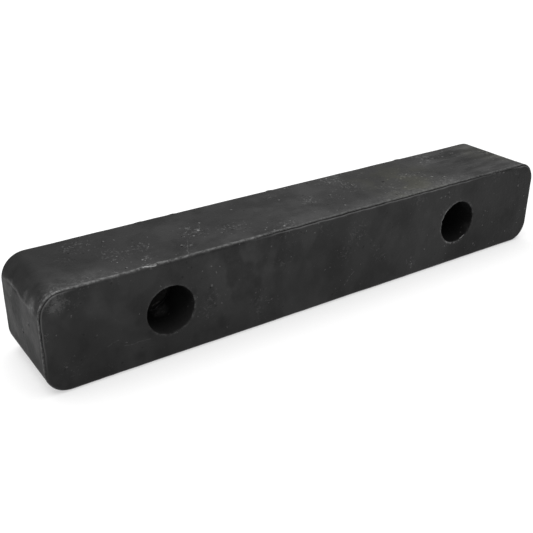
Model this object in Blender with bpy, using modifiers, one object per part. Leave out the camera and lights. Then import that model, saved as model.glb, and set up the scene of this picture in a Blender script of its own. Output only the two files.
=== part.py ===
"""A solid moulded rubber bumper block with two counterbored bolt holes, each with a steel seat washer.

Frame: metres, +Z up. The origin is at the middle of the block's footprint, so the block rests on z = 0.
X runs along the block, the counterbores open in the front face at -Y, and the back face at +Y is the one
that is bolted down.
"""

import math

import bmesh
import bpy
from mathutils import Matrix, Vector

MM = 0.001

# The rubber block.
BLOCK_LENGTH = 500 * MM
BLOCK_HEIGHT = 80 * MM
BLOCK_DEPTH = 80 * MM
FRONT_CORNER_RADIUS = 18 * MM
BACK_CORNER_RADIUS = 20 * MM
FRONT_EDGE_RADIUS = 2.5 * MM
BACK_EDGE_RADIUS = 3 * MM
CORNER_STEPS = 12
EDGE_STEPS = 5

# The bolt holes, for M16 bolts whose heads are sunk in the rubber. A bolt's head seats SEAT_DEPTH deep.
HOLE_SPACING = 300 * MM
COUNTERBORE_DIAMETER = 40 * MM
SEAT_DEPTH = 40 * MM
BOLT_DIAMETER = 16 * MM
BOLT_CLEARANCE = 2 * MM
HOLE_SIDES = 64
CUT_PAST_FACE = 5 * MM

# The steel washers on the floors of the counterbores. The bond line round them is a plain gap.
WASHER_THICKNESS = 6 * MM
WASHER_CHAMFER = 0.6 * MM
BOND_GAP = 0.3 * MM

FRONT_Y = -BLOCK_DEPTH / 2
BACK_Y = BLOCK_DEPTH / 2
HOLE_Z = BLOCK_HEIGHT / 2
SEAT_Y = FRONT_Y + SEAT_DEPTH
FLOOR_Y = SEAT_Y + WASHER_THICKNESS + BOND_GAP
BOLT_HOLE_DIAMETER = BOLT_DIAMETER + BOLT_CLEARANCE

SHARP_ANGLE = math.radians(35)


def clear_scene():
    """Removes every object of the scene that the script is run in."""
    for old in list(bpy.data.objects):
        bpy.data.objects.remove(old, do_unlink=True)


def new_collection(name):
    """A new collection, linked to the scene."""
    collection = bpy.data.collections.new(name)
    bpy.context.scene.collection.children.link(collection)
    return collection


def finish_material(name, colour, roughness, metallic):
    """A plain Principled finish."""
    finish = bpy.data.materials.new(name)
    finish.use_nodes = True
    shader = finish.node_tree.nodes["Principled BSDF"]
    shader.inputs["Base Color"].default_value = (*colour, 1.0)
    shader.inputs["Roughness"].default_value = roughness
    shader.inputs["Metallic"].default_value = metallic
    return finish


def smooth_round(mesh):
    """Shades the curved faces smooth and keeps the edges crisp."""
    mesh.shade_smooth()
    mesh.set_sharp_from_angle(angle=SHARP_ANGLE)


def corner_radius_at(y):
    """The radius of the block's end corners, which grows from the front face to the back face."""
    share = (y - FRONT_Y) / BLOCK_DEPTH
    return FRONT_CORNER_RADIUS + share * (BACK_CORNER_RADIUS - FRONT_CORNER_RADIUS)


def outline(bm, y, inset):
    """One ring of vertices round the block at y, drawn in by inset from its full outline."""
    radius = corner_radius_at(y) - inset
    half_length = BLOCK_LENGTH / 2 - inset
    half_height = BLOCK_HEIGHT / 2 - inset
    ring = []
    for quarter in range(4):
        side_x = 1 if quarter in (0, 3) else -1
        side_z = 1 if quarter in (0, 1) else -1
        centre_x = side_x * (half_length - radius)
        centre_z = HOLE_Z + side_z * (half_height - radius)
        for step in range(CORNER_STEPS + 1):
            angle = math.pi / 2 * (quarter + step / CORNER_STEPS)
            place = (centre_x + radius * math.cos(angle), y, centre_z + radius * math.sin(angle))
            ring.append(bm.verts.new(place))
    return ring


def rounded_edge(face_y, inwards, radius):
    """(y, inset) of each ring on a rounded edge, from the flat face at face_y to the block's side."""
    rings = []
    for step in range(EDGE_STEPS + 1):
        angle = math.pi / 2 * step / EDGE_STEPS
        rings.append((face_y + inwards * radius * (1 - math.cos(angle)), radius * (1 - math.sin(angle))))
    return rings


def make_block(collection, finish):
    """The rubber moulding: a loft from the front outline to the back one, with both rims rounded."""
    front_rim = rounded_edge(FRONT_Y, 1, FRONT_EDGE_RADIUS)
    back_rim = rounded_edge(BACK_Y, -1, BACK_EDGE_RADIUS)
    bm = bmesh.new()
    rings = [outline(bm, y, inset) for y, inset in front_rim + back_rim[::-1]]
    for ring, following in zip(rings, rings[1:]):
        for i in range(len(ring)):
            j = (i + 1) % len(ring)
            bm.faces.new((ring[i], following[i], following[j], ring[j]))
    bm.faces.new(rings[0])
    bm.faces.new(rings[-1])
    bmesh.ops.recalc_face_normals(bm, faces=bm.faces)
    mesh = bpy.data.meshes.new("rubber_block")
    bm.to_mesh(mesh)
    bm.free()
    smooth_round(mesh)
    mesh.materials.append(finish)
    block = bpy.data.objects.new("rubber_block", mesh)
    collection.objects.link(block)
    return block


def make_drill(collection, name, x, diameter, from_y, to_y):
    """A cylinder along Y that cuts one stretch of a hole."""
    bm = bmesh.new()
    turn = Matrix.Rotation(math.pi / 2, 4, "X")
    bmesh.ops.create_cone(
        bm,
        cap_ends=True,
        segments=HOLE_SIDES,
        radius1=diameter / 2,
        radius2=diameter / 2,
        depth=to_y - from_y,
        matrix=turn,
    )
    bmesh.ops.recalc_face_normals(bm, faces=bm.faces)
    mesh = bpy.data.meshes.new(name)
    bm.to_mesh(mesh)
    bm.free()
    drill = bpy.data.objects.new(name, mesh)
    drill.location = Vector((x, (from_y + to_y) / 2, HOLE_Z))
    drill.hide_render = True
    drill.display_type = "WIRE"
    collection.objects.link(drill)
    return drill


def cut(block, drill):
    """Cuts the drill's shape out of the block."""
    boolean = block.modifiers.new(drill.name, "BOOLEAN")
    boolean.operation = "DIFFERENCE"
    boolean.solver = "EXACT"
    boolean.object = drill


def drill_hole(block, cutters, side, x):
    """One stepped bolt hole, right through the block."""
    counterbore = make_drill(
        cutters, side + "_counterbore", x, COUNTERBORE_DIAMETER, FRONT_Y - CUT_PAST_FACE, FLOOR_Y
    )
    bolt_hole = make_drill(
        cutters, side + "_bolt_hole", x, BOLT_HOLE_DIAMETER, SEAT_Y, BACK_Y + CUT_PAST_FACE
    )
    cut(block, counterbore)
    cut(block, bolt_hole)


def make_washer(collection, finish, side, x):
    """A seat washer: its chamfered section, turned about the bolt's axis by a Screw modifier."""
    outer = COUNTERBORE_DIAMETER / 2 - BOND_GAP
    inner = BOLT_HOLE_DIAMETER / 2
    half = WASHER_THICKNESS / 2
    chamfer = WASHER_CHAMFER
    section = [
        (outer - chamfer, half),
        (outer, half - chamfer),
        (outer, -half + chamfer),
        (outer - chamfer, -half),
        (inner + chamfer, -half),
        (inner, -half + chamfer),
        (inner, half - chamfer),
        (inner + chamfer, half),
    ]
    bm = bmesh.new()
    corners = [bm.verts.new((radius, along, 0)) for radius, along in section]
    for i, corner in enumerate(corners):
        bm.edges.new((corner, corners[(i + 1) % len(corners)]))
    mesh = bpy.data.meshes.new(side + "_seat_washer")
    bm.to_mesh(mesh)
    bm.free()
    mesh.materials.append(finish)
    washer = bpy.data.objects.new(side + "_seat_washer", mesh)
    washer.location = Vector((x, SEAT_Y + half, HOLE_Z))
    collection.objects.link(washer)
    turned = washer.modifiers.new("turned", "SCREW")
    turned.axis = "Y"
    turned.steps = HOLE_SIDES
    turned.render_steps = HOLE_SIDES
    turned.use_merge_vertices = True
    turned.merge_threshold = 0.00001
    return washer


def main():
    clear_scene()
    pieces = new_collection("rubber_bumper_block")
    cutters = new_collection("cutters")
    rubber = finish_material("black_rubber", (0.045, 0.045, 0.045), 0.7, 0.0)
    steel = finish_material("seat_washer_steel", (0.22, 0.21, 0.2), 0.5, 1.0)
    block = make_block(pieces, rubber)
    for side, sign in (("left", -1), ("right", 1)):
        hole_x = sign * HOLE_SPACING / 2
        drill_hole(block, cutters, side, hole_x)
        make_washer(pieces, steel, side, hole_x)


main()
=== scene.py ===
"""The looks of the moulded rubber bumper block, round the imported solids: its skin, its trimmed rim, its
scuffs and dust, and the film on its steel washers."""

import math

import bpy
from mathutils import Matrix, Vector


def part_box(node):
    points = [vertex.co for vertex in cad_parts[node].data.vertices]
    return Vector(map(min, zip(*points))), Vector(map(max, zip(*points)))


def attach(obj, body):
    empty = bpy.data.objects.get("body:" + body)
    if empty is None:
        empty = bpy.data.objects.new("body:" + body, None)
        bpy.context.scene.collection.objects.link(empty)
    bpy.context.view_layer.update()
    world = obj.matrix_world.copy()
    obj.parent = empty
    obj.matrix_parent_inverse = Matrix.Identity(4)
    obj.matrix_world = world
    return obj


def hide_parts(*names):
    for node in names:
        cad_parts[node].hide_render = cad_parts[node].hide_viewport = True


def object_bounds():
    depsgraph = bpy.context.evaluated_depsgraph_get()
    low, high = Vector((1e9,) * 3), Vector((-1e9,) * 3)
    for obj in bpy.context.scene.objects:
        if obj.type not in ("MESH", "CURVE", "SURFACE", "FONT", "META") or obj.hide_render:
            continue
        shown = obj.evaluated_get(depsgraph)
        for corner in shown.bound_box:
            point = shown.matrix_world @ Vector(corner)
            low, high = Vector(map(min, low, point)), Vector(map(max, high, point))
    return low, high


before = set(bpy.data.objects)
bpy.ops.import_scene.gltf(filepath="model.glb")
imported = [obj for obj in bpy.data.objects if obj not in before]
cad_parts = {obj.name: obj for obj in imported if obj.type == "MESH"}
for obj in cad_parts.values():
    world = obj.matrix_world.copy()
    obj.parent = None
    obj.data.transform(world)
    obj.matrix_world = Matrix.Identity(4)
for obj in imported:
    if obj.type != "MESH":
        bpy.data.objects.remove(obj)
cad_low, cad_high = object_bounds()

MM = 0.001

# ---------------------------------------------------------------------------------------------------------
# The rubber block
# One solid piece of black rubber, cured in a closed steel mould. Rubber that ran out at the front rim was
# trimmed off by hand and left a crease with a ragged lip. The mouths of its moulded holes are torn a little.
# ---------------------------------------------------------------------------------------------------------
block_low, block_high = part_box("rubber_block")
block_centre = (block_low + block_high) / 2
block_size = block_high - block_low
front_y, back_y = block_low.y, block_high.y
front_corner = 18 * MM
back_corner = 20 * MM
front_edge = 2.5 * MM
back_edge = 3 * MM
corner_steps = 16
edge_steps = 5
washer_boxes = [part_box("left_seat_washer"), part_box("right_seat_washer")]
hole_centres = [(low + high) / 2 for low, high in washer_boxes]
seat_y, washer_back = washer_boxes[0][0].y, washer_boxes[0][1].y
bond_gap = 0.3 * MM
counterbore = washer_boxes[0][1].z - washer_boxes[0][0].z + 2 * bond_gap
bolt_hole = 18 * MM
hole_sides = 96
# Places nearer to each other than this count as the same.
tiny = 0.01 * MM


def pick(piece, wanted):
    """Selects the points of piece whose place is wanted, with the edges and faces between them."""
    if bpy.context.mode != "OBJECT":
        bpy.ops.object.mode_set(mode="OBJECT")
    bpy.ops.object.select_all(action="DESELECT")
    piece.select_set(True)
    bpy.context.view_layer.objects.active = piece
    bpy.ops.object.mode_set(mode="EDIT")
    bpy.ops.mesh.select_mode(type="VERT")
    bpy.ops.mesh.select_all(action="DESELECT")
    bpy.ops.object.mode_set(mode="OBJECT")
    for point in piece.data.vertices:
        point.select = wanted(point.co)
    bpy.ops.object.mode_set(mode="EDIT")


def add_outline(y, corner):
    """The block's outline at y: a standing rectangle whose corners are rounded."""
    bpy.ops.object.select_all(action="DESELECT")
    bpy.ops.mesh.primitive_plane_add(
        size=1, location=(block_centre.x, y, block_centre.z), rotation=(math.pi / 2, 0, 0)
    )
    outline = bpy.context.object
    outline.scale = (block_size.x, block_size.z, 1)
    bpy.ops.object.transform_apply(location=True, rotation=True, scale=True)
    bpy.ops.object.mode_set(mode="EDIT")
    bpy.ops.mesh.select_all(action="SELECT")
    bpy.ops.mesh.bevel(offset=corner, segments=corner_steps, affect="VERTICES")
    bpy.ops.mesh.delete(type="ONLY_FACE")
    bpy.ops.object.mode_set(mode="OBJECT")
    return outline


def on_face(y):
    """Says whether a place is on the flat face at y."""
    return lambda place: abs(place.y - y) < tiny


back_outline = add_outline(back_y, back_corner)
block = add_outline(front_y, front_corner)
back_outline.select_set(True)
bpy.ops.object.join()
block.name = "bumper_block"
pick(block, lambda place: True)
bpy.ops.mesh.bridge_edge_loops()
for face_y in (front_y, back_y):
    pick(block, on_face(face_y))
    bpy.ops.mesh.edge_face_add()
bpy.ops.mesh.select_all(action="SELECT")
bpy.ops.mesh.normals_make_consistent(inside=False)
for face_y, edge in ((front_y, front_edge), (back_y, back_edge)):
    pick(block, on_face(face_y))
    bpy.ops.mesh.bevel(offset=edge, segments=edge_steps, affect="EDGES")
bpy.ops.object.mode_set(mode="OBJECT")


def apply_modifier(piece, modifier):
    """Makes a modifier's result the piece's own mesh."""
    bpy.ops.object.select_all(action="DESELECT")
    piece.select_set(True)
    bpy.context.view_layer.objects.active = piece
    bpy.ops.object.modifier_apply(modifier=modifier.name)


def drill(centre, diameter, from_y, to_y):
    """Cuts a round hole along Y out of the block."""
    bpy.ops.object.select_all(action="DESELECT")
    bpy.ops.mesh.primitive_cylinder_add(
        vertices=hole_sides,
        radius=diameter / 2,
        depth=to_y - from_y,
        location=(centre.x, (from_y + to_y) / 2, centre.z),
        rotation=(math.pi / 2, 0, 0),
    )
    bit = bpy.context.object
    cut = block.modifiers.new("drill", "BOOLEAN")
    cut.object = bit
    cut.solver = "EXACT"
    apply_modifier(block, cut)
    bpy.data.objects.remove(bit)


# The rubber laps over the washer's edge in a thin lip, so the counterbore is cut in three stretches.
lip_width = 1.1 * MM
lip_height = 0.9 * MM
lip_clearance = 0.05 * MM
past_face = 5 * MM
for centre in hole_centres:
    drill(centre, counterbore, front_y - past_face, seat_y - lip_height)
    drill(centre, counterbore - 2 * lip_width, seat_y - 2 * lip_height, seat_y)
    drill(centre, counterbore, seat_y - lip_clearance, washer_back + bond_gap)
    drill(centre, bolt_hole, seat_y, back_y + past_face)


def from_axis(place):
    """How far a place is from the nearer bolt hole's axis."""
    return min(math.hypot(place.x - centre.x, place.z - centre.z) for centre in hole_centres)


mouth_edge = 0.4 * MM
pick(block, lambda place: on_face(front_y)(place) and from_axis(place) < counterbore / 2 + 0.1 * MM)
bpy.ops.mesh.bevel(offset=mouth_edge, segments=2, affect="EDGES")


def steps_between(low, high, step):
    """Evenly spaced places between low and high, about a step apart."""
    count = round((high - low) / step)
    return [low + (high - low) * i / count for i in range(1, count)]


# The skin is cut into small squares, and the front and what lies just behind its rim once more.
skin_step = 2.5 * MM
cut_tolerance = 0.02 * MM
merge_distance = 0.03 * MM
rim_depth = 7 * MM
rim_ring = 1.1 * MM
rim_places = steps_between(front_y + front_edge, front_y + rim_depth, rim_ring) + [front_y + rim_depth]
pick(block, lambda place: True)
for axis in range(3):
    places = steps_between(block_low[axis], block_high[axis], skin_step)
    if axis == 1:
        places = rim_places + [y for y in places if y > front_y + rim_depth + 1 * MM]
    for place in places:
        through, normal = Vector((0, 0, 0)), Vector((0, 0, 0))
        through[axis], normal[axis] = place, 1
        bpy.ops.mesh.select_all(action="SELECT")
        bpy.ops.mesh.bisect(plane_co=through, plane_no=normal, threshold=cut_tolerance)
pick(block, lambda place: place.y < front_y + rim_depth + tiny)
bpy.ops.mesh.subdivide(number_cuts=1)
pick(block, lambda place: place.x < block_low.x + 2 * MM and 58 * MM < place.z < 73 * MM)
bpy.ops.mesh.subdivide(number_cuts=1)
bpy.ops.mesh.select_all(action="SELECT")
bpy.ops.mesh.remove_doubles(threshold=merge_distance)
bpy.ops.object.mode_set(mode="OBJECT")


def inset(place):
    """How far a place is inside the block's outline, seen from the front."""
    corner = front_corner + (back_corner - front_corner) * (place.y - front_y) / block_size.y
    side = max(abs(place.x - block_centre.x) - block_size.x / 2 + corner, 0)
    rise = max(abs(place.z - block_centre.z) - block_size.z / 2 + corner, 0)
    if side or rise:
        return corner - math.hypot(side, rise)
    return corner


def edge_run(place):
    """How far a place is past the start of the front edge's round, measured along its section."""
    depth, side = place.y - front_y, inset(place)
    if depth > front_edge:
        return front_edge - depth
    if side > front_edge:
        return front_edge * math.pi / 2 + side - front_edge
    return front_edge * math.atan2(front_edge - depth, front_edge - side)


def ramp(value, start, full):
    """0 at start and 1 at full, in a straight line between them."""
    return min(1, max(0, (value - start) / (full - start)))


def hump(distance, width):
    """A smooth hump: 1 at no distance, dying away over about width."""
    return math.exp(-((distance / width) ** 2))


def creased(place):
    """How deep the trimming crease is beside a place on the rim, from 0 to 1."""
    top_run = ramp(place.z, 70 * MM, 78 * MM) * ramp(place.x, -80 * MM, -45 * MM)
    top_run = top_run * ramp(place.x, 205 * MM, 150 * MM)
    left_corner = ramp(place.x, -220 * MM, -236 * MM) * ramp(place.z, 12 * MM, 45 * MM)
    right_corner = ramp(place.x, 216 * MM, 230 * MM) * ramp(place.z, 52 * MM, 70 * MM)
    return max(top_run, left_corner, right_corner)


def turn_of(place, centre):
    """The place's turn round a hole's axis, in degrees from +X towards +Z."""
    return math.degrees(math.atan2(place.z - centre.z, place.x - centre.x))


def degrees_apart(turn, other):
    """How many degrees one turn is from another, the short way round."""
    return (turn - other + 180) % 360 - 180


# A worn ridge runs along the left end, just under the round of its upper corner.
ridge_z = 65.5 * MM

# Each part of the rim's section has its own group of points: name, run along the round, half width.
rim_section = (("crest", 0.3 * MM, 1.2 * MM), ("crease", 2.0 * MM, 0.5 * MM), ("lip", 2.9 * MM, 0.45 * MM))
nib_places = (-136 * MM, -106 * MM, -9 * MM, 141 * MM)
# The material shows some of the groups too.
shown_names = ("crest", "crease", "lip", "ridge", "rubbed_mouth", "bore")
weights = {name: {} for name in shown_names + ("skin", "mouth", "nib")}
# Where each mouth is torn: the hole's axis, the place round it in degrees, and how far it spreads.
torn_mouths = ((hole_centres[0], -75, 28), (hole_centres[1], 155, 50))
# Where each mouth is rubbed pale, in the same way, with how pale it is.
rubbed_mouths = (
    (hole_centres[0], -20, 60, 0.5),
    (hole_centres[0], -100, 40, 0.6),
    (hole_centres[0], 120, 50, 0.35),
    (hole_centres[1], 150, 50, 1.7),
    (hole_centres[1], -110, 40, 1.5),
    (hole_centres[1], 20, 60, 0.4),
)
for point in block.data.vertices:
    place = point.co
    depth, side, radius = place.y - front_y, inset(place), from_axis(place)
    on_bore = radius < counterbore / 2 + tiny and tiny < depth < block_size.y - tiny
    if not on_bore:
        weights["skin"][point.index] = 1
    if side < front_edge + 2 * MM and depth < rim_depth + 2 * MM:
        along = place.x + place.z
        wobble = 0.15 * MM * math.sin(along / (6 * MM)) + 0.12 * MM * math.sin(along / (2.3 * MM))
        for name, centre, width in rim_section:
            share = creased(place) if name != "crest" else 1
            weights[name][point.index] = share * hump(edge_run(place) - centre - wobble, width)
    if side < back_edge + 0.1 * MM and place.z > block_centre.z:
        for nib in nib_places:
            share = hump(place.x - nib, 1.6 * MM) * hump(back_y - place.y - 1.5 * MM, 2 * MM)
            weights["nib"][point.index] = max(share, weights["nib"].get(point.index, 0))
    if depth < 1.5 * MM and radius < counterbore / 2 + 3.2 * MM:
        for centre, torn_at, spread in torn_mouths:
            if abs(place.x - centre.x) < counterbore:
                share = 0.15 + 0.85 * hump(degrees_apart(turn_of(place, centre), torn_at), spread)
                weights["mouth"][point.index] = share * hump(radius - counterbore / 2, 1.2 * MM)
        for centre, rubbed_at, spread, paleness in rubbed_mouths:
            if abs(place.x - centre.x) < counterbore:
                share = paleness * hump(degrees_apart(turn_of(place, centre), rubbed_at), spread)
                share = share * hump(radius - counterbore / 2 - 0.4 * MM, 1.0 * MM)
                rubbed_so_far = weights["rubbed_mouth"].get(point.index, 0)
                weights["rubbed_mouth"][point.index] = max(share, rubbed_so_far)
    if on_bore:
        weights["bore"][point.index] = 1
    if place.x < block_low.x + 2 * MM and place.z > block_centre.z:
        wander = 1.2 * MM * math.sin(place.y / (8 * MM)) + 0.3 * MM * math.sin(place.y / (2.6 * MM))
        share = hump(place.z - ridge_z - wander, 1.1 * MM) * ramp(place.y, 38 * MM, 28 * MM)
        weights["ridge"][point.index] = share * ramp(place.y, -35 * MM, -27 * MM)


def roughen(piece, name, height, grain, lift=0.5):
    """Pushes the points of a group in and out along their normals by a cloudy pattern of that grain."""
    group = piece.vertex_groups.new(name=name)
    for index, weight in weights[name].items():
        group.add([index], weight, "REPLACE")
    clouds = bpy.data.textures.new(name, "CLOUDS")
    clouds.noise_scale = grain
    clouds.noise_depth = 2
    push = piece.modifiers.new(name, "DISPLACE")
    push.vertex_group = name
    push.texture = clouds
    push.texture_coords = "LOCAL"
    push.mid_level = lift
    push.strength = height
    apply_modifier(piece, push)


roughen(block, "skin", 0.5 * MM, 45 * MM)
roughen(block, "crest", 0.5 * MM, 7 * MM, lift=0.1)
roughen(block, "crease", -1.3 * MM, 11 * MM, lift=0.0)
roughen(block, "lip", 0.5 * MM, 9 * MM, lift=-0.1)
roughen(block, "nib", 1.3 * MM, 30 * MM, lift=0.0)
roughen(block, "ridge", 0.9 * MM, 9 * MM, lift=0.1)
roughen(block, "mouth", -2.4 * MM, 3.5 * MM, lift=0.35)

for name in shown_names:
    worn = block.data.attributes.new(name + "_share", "FLOAT", "POINT")
    for index, weight in weights[name].items():
        worn.data[index].value = weight
bpy.ops.object.shade_smooth_by_angle(angle=math.radians(50))


class Shade:
    """A value at each point of a surface. Arithmetic on shades adds Math nodes to the material."""

    def __init__(self, tree, socket):
        self.tree, self.socket = tree, socket

    def node(self, kind, settings=None, inputs=None, output=0):
        """Adds a node of any kind, sets its settings, fills or links its inputs, and returns one output."""
        node = self.tree.nodes.new(kind)
        for name, value in (settings or {}).items():
            setattr(node, name, value)
        for name, value in (inputs or {}).items():
            if isinstance(value, Shade):
                self.tree.links.new(value.socket, node.inputs[name])
            else:
                node.inputs[name].default_value = value
        return Shade(self.tree, node.outputs[output])

    def math(self, operation, *values):
        return self.node("ShaderNodeMath", {"operation": operation}, dict(enumerate(values)))

    def __add__(self, other):
        return self.math("ADD", self, other)

    __radd__ = __add__

    def __mul__(self, other):
        return self.math("MULTIPLY", self, other)

    __rmul__ = __mul__

    def __sub__(self, other):
        return self.math("SUBTRACT", self, other)

    def __rsub__(self, other):
        return self.math("SUBTRACT", other, self)

    def between(self, start, full):
        """0 up to start and 1 from full, smooth between them; start may be the larger."""
        swap = start > full
        low, high = (full, start) if swap else (start, full)
        rising = self.node(
            "ShaderNodeMapRange",
            {"interpolation_type": "SMOOTHSTEP"},
            {"Value": self, "From Min": low, "From Max": high},
        )
        return 1 - rising if swap else rising

    def clouds(self, size, detail=2.0, roughness=0.5, seed=0, stretch=(1, 1, 1)):
        """A cloudy pattern from about 0.3 to 0.7, with features about size wide. self is a place."""
        where = self.node(
            "ShaderNodeMapping", {}, {"Vector": self, "Location": (seed, 2 * seed, -seed), "Scale": stretch}
        )
        return self.node(
            "ShaderNodeTexNoise",
            {},
            {"Vector": where, "Scale": 1 / size, "Detail": detail, "Roughness": roughness},
        )

    def near(self, spot, reach):
        """1 at a spot and 0 beyond reach. self is a place."""
        apart = self.node(
            "ShaderNodeVectorMath", {"operation": "DISTANCE"}, {0: self, 1: spot}, "Value"
        )
        return apart.between(reach, reach * 0.2)

    def hairline(self, start, end, width):
        """1 along the line from start to end, fading to 0 over width. self is a place."""
        run = Vector(end) - Vector(start)
        from_start = self.node("ShaderNodeVectorMath", {"operation": "SUBTRACT"}, {0: self, 1: start})
        covered = self.node(
            "ShaderNodeVectorMath", {"operation": "DOT_PRODUCT"}, {0: from_start, 1: run}, "Value"
        )
        clamped = {"operation": "MULTIPLY", "use_clamp": True}
        share = covered.node("ShaderNodeMath", clamped, {0: covered, 1: 1 / run.length_squared})
        on_line = self.node("ShaderNodeVectorMath", {"operation": "SCALE"}, {0: run, "Scale": share})
        apart = self.node(
            "ShaderNodeVectorMath", {"operation": "DISTANCE"}, {0: from_start, 1: on_line}, "Value"
        )
        return apart.between(width, 0)


def start_material(name):
    """A new material: the material, its shader node, and the place on the piece as a Shade."""
    material = bpy.data.materials.new(name)
    material.use_nodes = True
    tree = material.node_tree
    shader = tree.nodes["Principled BSDF"]
    place = Shade(tree, None).node("ShaderNodeTexCoord", output="Object")
    return material, shader, place


rubber, shader, place = start_material("moulded_rubber")
tree = rubber.node_tree
x, y, z = (place.node("ShaderNodeSeparateXYZ", {}, {0: place}, axis) for axis in range(3))
crest, crease, lip, ridge, rubbed_mouth, bore = (
    place.node("ShaderNodeAttribute", {"attribute_name": name + "_share"}, {}, "Fac")
    for name in shown_names
)

# The moulded skin is cloudy: broad dull patches, smaller smudges in them, and a fine grain.
blotches = place.clouds(55 * MM, detail=3, roughness=0.5, seed=1).between(0.36, 0.64)
patches = place.clouds(21 * MM, detail=2, roughness=0.5, seed=2, stretch=(1, 1, 0.7)).between(0.44, 0.58)
smudges = place.clouds(7 * MM, detail=4, roughness=0.65, seed=3).between(0.36, 0.66)
grain = place.clouds(1.6 * MM, detail=2, seed=4)


def in_metres(spot):
    """A place given in millimetres, turned into metres."""
    return [length * MM for length in spot]


def add_up(marks, at):
    """Round marks laid over each other: each one's middle and reach, in millimetres, and its strength."""
    total = 0
    for middle, reach, strength in marks:
        total = total + strength * at.near(in_metres(middle), reach * MM)
    return total


# Where crumbs of rubber and dust have gathered: the middle of each spot, its reach, and how thick they lie.
spots = (
    # on the top
    ((-196, 23, 80), 24, 1.1),
    ((-178, -6, 80), 20, 1.1),
    ((-215, 1, 80), 14, 0.9),
    ((-156, -8, 80), 16, 1.0),
    ((-158, -25, 80), 9, 1.2),
    ((-165, -37, 80), 9, 1.3),
    ((-214, -36, 80), 14, 1.1),
    ((-190, -37, 80), 13, 1.0),
    ((-108, -2, 80), 20, 1.2),
    ((-125, -24, 80), 10, 1.0),
    ((-86, -14, 80), 14, 1.0),
    ((-71, -14, 80), 14, 0.8),
    ((-42, -33, 80), 22, 1.0),
    ((-17, 24, 80), 16, 0.7),
    ((8, 0, 80), 18, 0.8),
    ((52, 35, 80), 28, 1.0),
    ((58, 4, 80), 20, 0.9),
    ((97, -24, 80), 32, 0.7),
    ((121, 3, 80), 20, 0.8),
    ((142, -24, 80), 26, 0.8),
    ((167, 27, 80), 24, 1.0),
    ((240, 0, 76), 30, 1.0),
    # on the front
    ((-238, -40, 72), 15, 2.2),
    ((-247, -40, 48), 10, 0.9),
    ((-223, -40, 65), 9, 0.8),
    ((-231, -40, 18), 16, 0.7),
    ((-202, -40, 10), 6, 1.2),
    ((-117, -40, 34), 24, 0.9),
    ((-70, -40, 20), 22, 0.9),
    ((-48, -40, 54), 14, 1.0),
    ((-7, -40, 74), 12, 0.9),
    ((31, -40, 59), 18, 0.9),
    ((16, -40, 44), 14, 1.0),
    ((56, -40, 32), 14, 0.9),
    ((94, -40, 14), 10, 1.1),
    ((101, -40, 74), 12, 1.0),
    ((134, -40, 54), 12, 1.0),
    ((139, -40, 24), 10, 1.0),
    ((199, -40, 76), 14, 0.9),
    ((226, -40, 75), 9, 1.4),
    # on the left end
    ((-250, -5, 38), 10, 0.7),
)
crumbly = add_up(spots, place)
scattered = place.clouds(24 * MM, detail=3, roughness=0.6, seed=5).between(0.42, 0.62)
crumbly = crumbly + 0.5 * scattered * (0.25 + 0.75 * x.between(-100 * MM, 60 * MM))


def add_vectors(one, other):
    """The sum of two places, or of a place and a shift."""
    return one.node("ShaderNodeVectorMath", {"operation": "ADD"}, {0: one, 1: other})


def crumb_dots(at, spacing, seed, plenty):
    """1 on small round crumbs of mixed sizes. plenty is the share of places that hold one, from 0 to 1."""
    where = at.node("ShaderNodeMapping", {}, {"Vector": at, "Location": (seed, 2 * seed, -seed)})
    apart = where.node("ShaderNodeTexVoronoi", {}, {"Vector": where, "Scale": 1 / spacing}, "Distance")
    dice = Shade(apart.tree, apart.socket.node.outputs["Color"])
    chance, size = (dice.node("ShaderNodeSeparateColor", {}, {0: dice}, channel) for channel in range(2))
    dot = (0.08 + 0.18 * size * size - apart).between(0, 0.08)
    return dot * (plenty - chance).between(0, 0.02)


def shifted(at, size, most):
    """A place moved this way and that by up to most, over about size, so that marks aren't quite regular."""
    wander = at.node("ShaderNodeTexNoise", {}, {"Vector": at, "Scale": 1 / size, "Detail": 3}, "Color")
    wander = add_vectors(wander, (-0.5, -0.5, -0.5))
    wander = at.node("ShaderNodeVectorMath", {"operation": "SCALE"}, {0: wander, "Scale": 2 * most})
    return add_vectors(at, wander)


wobbled = shifted(place, 6 * MM, 2 * MM)

# Each crumb stands out of the skin with a painted shadow at its lower side, and dark pits lie among the
# crumbs.
crumb_shadow_place = add_vectors(wobbled, (1.0 * MM, 0.8 * MM, 1.0 * MM))
top = z.between(75 * MM, 79 * MM) * y.between(-39.6 * MM, -38.3 * MM)
plenty = 0.03 + 0.4 * crumbly * (1 + 0.7 * top)
crumbs = crumb_dots(wobbled, 5 * MM, 6, plenty * 0.8) + crumb_dots(wobbled, 3 * MM, 8, plenty)
pits_and_crumb_shadows = crumb_dots(crumb_shadow_place, 5 * MM, 6, plenty * 0.8) + 0.5 * crumb_dots(wobbled, 4 * MM, 7, plenty * 1.3)
pits_and_crumb_shadows = pits_and_crumb_shadows.math("MINIMUM", pits_and_crumb_shadows, 1)
dust = (place.clouds(2.8 * MM, detail=3, roughness=0.8, seed=6) + 0.12 * crumbly).between(0.67, 0.76)

# Scratches and shavings, each from one place to another, with its half width and how pale it is.
scratches = (
    ((-190, -40, 22), (-168, -40, 21), 0.5, 0.03),
    ((-203, -40, 26), (-194, -40, 29), 0.5, 0.03),
    ((17, -40, 13), (27, -40, 23), 0.5, 0.08),
    ((-134, -39, 80), (-118, -11, 80), 0.6, 0.04),
    ((150, 10, 80), (215, 14, 80), 0.5, 0.05),
    ((-170, -38, 80), (-160, -39, 80), 0.8, 0.22),
    ((-158, -36, 80), (-150, -38, 80), 0.7, 0.15),
    ((157, -39, 21), (162, -39, 24), 0.8, 0.25),
)
scratched = 0
for start, end, half_width, paleness in scratches:
    line = wobbled.hairline(in_metres(start), in_metres(end), half_width * MM)
    scratched = scratched + paleness * line

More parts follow.
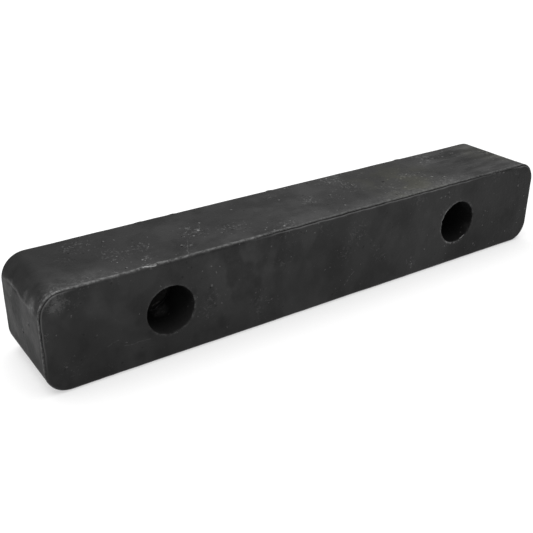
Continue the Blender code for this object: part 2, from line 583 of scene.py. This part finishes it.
# Pale smears and single pale flakes: the middle of each, its reach, and how pale it is.
smears = (
    ((-249, -24, 66), 9, 0.07),
    ((-249, -12, 69), 6, 0.04),
    ((-250, 16, 65), 6, 0.04),
    ((-250, -16, 40), 10, 0.02),
    ((-143, -6, 21), 10, 0.2),
    ((-237, -40, 71), 12, 0.025),
    ((168, -37, 31), 6, 0.012),
    # single flakes on the top
    ((202, 22, 80), 1.2, 0.30),
    ((196, -30, 80), 1.0, 0.20),
    ((121, 3, 80), 1.1, 0.25),
    ((146, -22, 80), 1.4, 0.25),
    ((97, -22, 80), 1.4, 0.25),
    ((52, 35, 80), 1.4, 0.25),
    ((8, 0, 80), 1.0, 0.20),
    ((-17, 24, 80), 1.0, 0.15),
    ((-42, -33, 80), 1.5, 0.25),
    ((-104, -2, 80), 1.5, 0.25),
    ((-96, 10, 80), 1.2, 0.20),
    ((-153, 1, 80), 1.1, 0.15),
)
flecks = place.clouds(3 * MM, detail=4, roughness=0.8, seed=10).between(0.42, 0.66)
smeared = add_up(smears, wobbled)

# The skin isn't even: the middle of each patch, its reach, and how much paler it is, or darker below 0.
uneven_patches = (
    # on the front
    ((-237, -40, 71), 22, 0.25),
    ((-222, -40, 47), 26, -0.35),
    ((-204, -40, 28), 22, -0.20),
    ((-229, -40, 25), 18, -0.15),
    ((-232, -40, 10), 20, 0.20),
    ((-180, -40, 7), 22, 0.50),
    ((-90, -40, 61), 50, 0.75),
    ((-112, -40, 28), 24, 0.25),
    ((-28, -40, 26), 28, -0.30),
    ((5, -40, 44), 24, -0.35),
    ((14, -40, 22), 40, -0.25),
    ((38, -40, 50), 22, -0.15),
    ((54, -40, 22), 26, -0.40),
    ((82, -40, 63), 18, -0.35),
    ((101, -40, 54), 26, 0.15),
    ((155, -40, 8), 26, -0.30),
    ((174, -40, 16), 44, -0.60),
    ((162, -40, 69), 18, -0.40),
    ((214, -40, 26), 28, -0.45),
    ((234, -40, 65), 18, 0.20),
    ((241, -40, 73), 9, -0.55),
    # on the left end
    ((-250, 20, 57), 28, -0.60),
    ((-244, -3, 76), 24, -0.25),
    # on the top
    ((-226, -24, 80), 40, 0.45),
    ((-78, 10, 80), 32, -0.25),
    ((-50, 20, 80), 26, -0.25),
    ((-14, -12, 80), 48, 0.40),
    ((69, -19, 80), 24, 0.20),
    ((79, 20, 80), 26, -0.20),
    ((143, 21, 80), 24, 0.20),
    ((203, 3, 80), 24, -0.35),
    ((213, 26, 80), 25, 0.60),
)
drifted = shifted(place, 18 * MM, 16 * MM)
unevenness = add_up(uneven_patches, drifted)

# Along the front edge of the top the skin is paler: painted sheen, broken up by rubbed flecks.
# The crest of the rim is rubbed palest of all.
right_run = x.between(-60 * MM, 130 * MM) * x.between(185 * MM, 155 * MM)
left_run = 0.9 * x.between(-165 * MM, -230 * MM)
rubbed_and_sheen = top * y.between(-14 * MM, -38 * MM) * (0.12 + right_run + left_run)
worn_edge = crest * place.clouds(2.2 * MM, detail=4, roughness=0.7, seed=11).between(0.34, 0.66)

# The round at the top of the left end, the flat below it, and the run up to the right end. Painted shade
# darkens all but the top along that run.
left_round = x.between(-232 * MM, -246 * MM) * z.between(62 * MM, 66 * MM)
left_end = x.between(-249 * MM, -249.6 * MM) * z.between(66 * MM, 62 * MM)
shaded_right_end = x.between(150 * MM, 250 * MM)

# Painted light makes the top paler to the right. Its right end has long streaks.
painted_top_light = top * x.between(-190 * MM, 120 * MM)
streaks = place.clouds(9 * MM, detail=3, roughness=0.6, seed=15, stretch=(0.3, 1, 1)).between(0.38, 0.64)
streaks = top * x.between(140 * MM, 200 * MM) * (streaks - 0.5)

# The bare skin's tone; painted shade towards the right end, painted light on the right of the top, and
# streaks.
# Then the pits and the crumbs' painted shadows, the uneven patches, and painted shade on the hole walls.
# Then painted light on the lower half of the hole walls, more in the left hole.
tone = 0.006 + 0.010 * blotches + 0.008 * patches + 0.003 * smudges + 0.002 * grain
tone = tone * (1 - 0.6 * shaded_right_end * (1 - top)) + 0.014 * painted_top_light * (0.5 + 0.5 * blotches) + 0.020 * streaks
tone = tone * (1 - (0.55 + 0.2 * top) * pits_and_crumb_shadows) * (1 + unevenness) * (1 - 0.6 * bore)
painted_bore_light = bore * z.between(45 * MM, 25 * MM)
tone = tone + 0.012 * painted_bore_light * (0.4 + 0.6 * x.between(100 * MM, -100 * MM))

# What lies on the skin or is rubbed out of it is paler than the skin; so is the painted sheen on the top.
pale = (0.03 + 0.03 * top) * dust + (0.05 + 0.05 * top) * crumbs + scratched
pale = pale + worn_edge * (0.05 + 0.06 * x.between(-20 * MM, -60 * MM))
pale = pale + lip * (0.055 + 0.015 * x.between(-215 * MM, -120 * MM))
pale = pale + smeared * (0.4 + 0.6 * flecks) + 0.045 * rubbed_and_sheen * (0.3 + 0.7 * flecks)
pale = pale + 0.08 * ridge * (0.4 + 0.6 * flecks) + 0.12 * rubbed_mouth * flecks
tone = tone + pale

# Painted shade darkens the trimming crease, the lower left and the left of the top, dust and all.
shaded_lower_left = z.between(60 * MM, 0) * x.between(0, -200 * MM)
shaded_top_left = top * x.between(-110 * MM, -210 * MM) * y.between(-26 * MM, 6 * MM)
tone = tone * (1 - 0.6 * crease) * (1 - 0.4 * shaded_lower_left) * (1 - 0.35 * shaded_top_left)

# Two patches of the top are slightly olive: the middle of each, its reach, and how strong it is.
olive_patches = (((105, -4, 80), 60, 0.8), ((228, 5, 80), 40, 0.5))
olive = top * (0.3 + 0.7 * patches) * add_up(olive_patches, drifted)
grey = place.node("ShaderNodeCombineColor", {}, {0: tone, 1: tone, 2: tone * (1 - 0.2 * olive)})
tree.links.new(grey.socket, shader.inputs["Base Color"])

roughness = 0.36 + 0.10 * blotches + 0.06 * smudges + 0.10 * patches + 0.3 * (dust + pits_and_crumb_shadows) + 0.4 * bore
roughness = roughness + left_end * (0.09 + 0.08 * z.between(45 * MM, 10 * MM)) + 0.22 * left_round
tree.links.new(roughness.socket, shader.inputs["Roughness"])
shader.inputs["Specular IOR Level"].default_value = 0.14

height = 0.12 * grain + 0.25 * smudges + 0.3 * dust + 0.9 * crumbs - 0.6 * pits_and_crumb_shadows
height = height + 0.3 * (rubbed_and_sheen + ridge) * flecks
bump = place.node("ShaderNodeBump", {}, {"Height": height, "Distance": 0.35 * MM, "Strength": 0.8})
tree.links.new(bump.socket, shader.inputs["Normal"])

block.data.materials.append(rubber)
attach(block, "root")
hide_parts("rubber_block")

# ---------------------------------------------------------------------------------------------------------
# The seat washers
# Flat steel rings bonded on the floors of the counterbores, for the bolt heads to press on. A dull film of
# rubber covers them, thin enough in patches to show the steel. The left one has a short painted glint.
# ---------------------------------------------------------------------------------------------------------
steel, shader, place = start_material("filmed_steel")
tree = steel.node_tree
bare = place.clouds(5 * MM, detail=4, roughness=0.6).between(0.5, 0.75)
# A painted glint: a short pale streak on the left washer.
streak = place.hairline((-146 * MM, 0, 24 * MM), (-140 * MM, 0, 26 * MM), 1.1 * MM)
tone = 0.015 + 0.03 * bare + 0.12 * streak
grey = place.node("ShaderNodeCombineColor", {}, {0: tone, 1: tone * 0.96, 2: tone * 0.92})
tree.links.new(grey.socket, shader.inputs["Base Color"])
tree.links.new((0.75 - 0.25 * bare).socket, shader.inputs["Roughness"])
tree.links.new((0.2 + 0.6 * bare).socket, shader.inputs["Metallic"])
for name in ("left_seat_washer", "right_seat_washer"):
    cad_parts[name].data.materials.clear()
    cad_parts[name].data.materials.append(steel)

# ---------------------------------------------------------------------------------------------------------
# Floor, light and camera
# A plain white paper sheet that also glows a little, under a pale even sky with one big softbox overhead.
# They only light and frame the block.
# ---------------------------------------------------------------------------------------------------------
bpy.ops.object.select_all(action="DESELECT")
bpy.ops.mesh.primitive_plane_add(size=60, location=(0, 0, cad_low.z - 0.5 * MM))
floor = bpy.context.object
floor.name = "studio_floor"
paper = bpy.data.materials.new("white_paper")
paper.use_nodes = True
paper.node_tree.nodes["Principled BSDF"].inputs["Base Color"].default_value = (0.5, 0.5, 0.5, 1)
paper.node_tree.nodes["Principled BSDF"].inputs["Emission Color"].default_value = (1, 1, 1, 1)
paper.node_tree.nodes["Principled BSDF"].inputs["Emission Strength"].default_value = 0.5
paper.node_tree.nodes["Principled BSDF"].inputs["Roughness"].default_value = 0.9
floor.data.materials.append(paper)

world = bpy.data.worlds.new("studio")
world.use_nodes = True
world.node_tree.nodes["Background"].inputs["Color"].default_value = (1, 1, 1, 1)
world.node_tree.nodes["Background"].inputs["Strength"].default_value = 0.42
bpy.context.scene.world = world


def add_softbox(name, place, aim, width, height, watts):
    """A rectangular area light at place, facing aim."""
    lamp = bpy.data.lights.new(name, "AREA")
    lamp.shape = "RECTANGLE"
    lamp.size, lamp.size_y = width, height
    lamp.energy = watts
    box = bpy.data.objects.new(name, lamp)
    box.location = place
    box.rotation_euler = (Vector(aim) - Vector(place)).to_track_quat("-Z", "Y").to_euler()
    bpy.context.scene.collection.objects.link(box)


add_softbox("overhead_softbox", (-0.2, 0.3, 4.0), (0, 0, 0), 6.0, 6.0, 250)

camera = bpy.data.objects.new("camera", bpy.data.cameras.new("camera"))
camera.location = (-0.39796, -0.52608, 0.34702)
camera.data.lens = 56.23
camera.data.sensor_width = 36
line_of_sight = Vector((0.50640, 0.73771, -0.44648))
camera_roll = math.radians(0.47)
camera.rotation_euler = line_of_sight.to_track_quat("-Z", "Y").to_euler()
camera.rotation_euler.rotate_axis("Z", camera_roll)
bpy.context.scene.collection.objects.link(camera)
bpy.context.scene.camera = camera
bpy.context.scene.view_settings.view_transform = "Standard"
